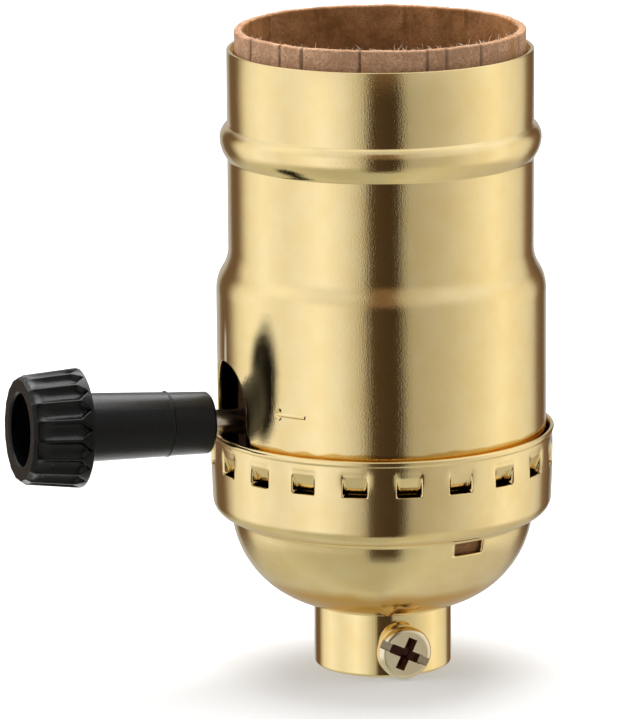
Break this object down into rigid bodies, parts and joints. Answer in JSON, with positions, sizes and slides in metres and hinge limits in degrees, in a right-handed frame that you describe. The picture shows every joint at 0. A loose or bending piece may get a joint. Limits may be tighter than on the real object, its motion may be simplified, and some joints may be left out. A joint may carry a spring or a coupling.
{
  "type": "turn knob lamp socket",
  "caption": "Screw lamp socket in a brass shell and cap, with a turn knob switch at the side and a threaded neck with a set screw.",
  "frame": {"origin": "centre of the lower end of the neck's threaded bore", "axes": "+Z along the socket's axis towards the bulb, knob towards -X, set screw towards -Y"},
  "size_m": [0.0607, 0.038, 0.0712],
  "materials": {
    "brass_sheet": "polished",
    "brass_turned": "polished",
    "contact_brass": "satin",
    "steel": "plated",
    "thread_aluminium": "satin",
    "knob_plastic": "semi-gloss",
    "phenolic": "moulded",
    "cardboard": "matt",
    "fibre": "matt"
  },
  "bodies": {
    "socket": {"outer_shell": "brass_sheet", "shell_liner": "cardboard", "cap": "brass_sheet", "cap_liner": "fibre", "neck_bushing": "brass_turned", "switch_base": "phenolic", "switch_housing": "phenolic", "screw_shell": "thread_aluminium", "centre_contact": "contact_brass", "centre_rivet": "contact_brass", "shell_rivets": "contact_brass", "neutral_strap": "contact_brass", "hot_terminal": "contact_brass", "hot_screw": "brass_turned", "neutral_screw": "steel", "contact_spring": "contact_brass", "fixed_contact": "contact_brass", "body_screws": "steel"},
    "knob_spindle": {"knob": "knob_plastic", "knob_shaft": "steel", "shaft_collar": "contact_brass", "switch_cam": "phenolic"},
    "clamp_screw": {"set_screw": "brass_turned"}
  },
  "joints": [
    {"name": "knob_turn", "type": "hinge", "parent": "socket", "child": "knob_spindle", "pos_m": [0, 0, 0.0279], "axis": [-0.999, 0, 0.0436], "continuous": true},
    {"name": "set_screw_travel", "type": "slide", "parent": "socket", "child": "clamp_screw", "axis": [-0.0785, -0.9969, 0], "range_m": [-0.00035, 0.0025]}
  ]
}
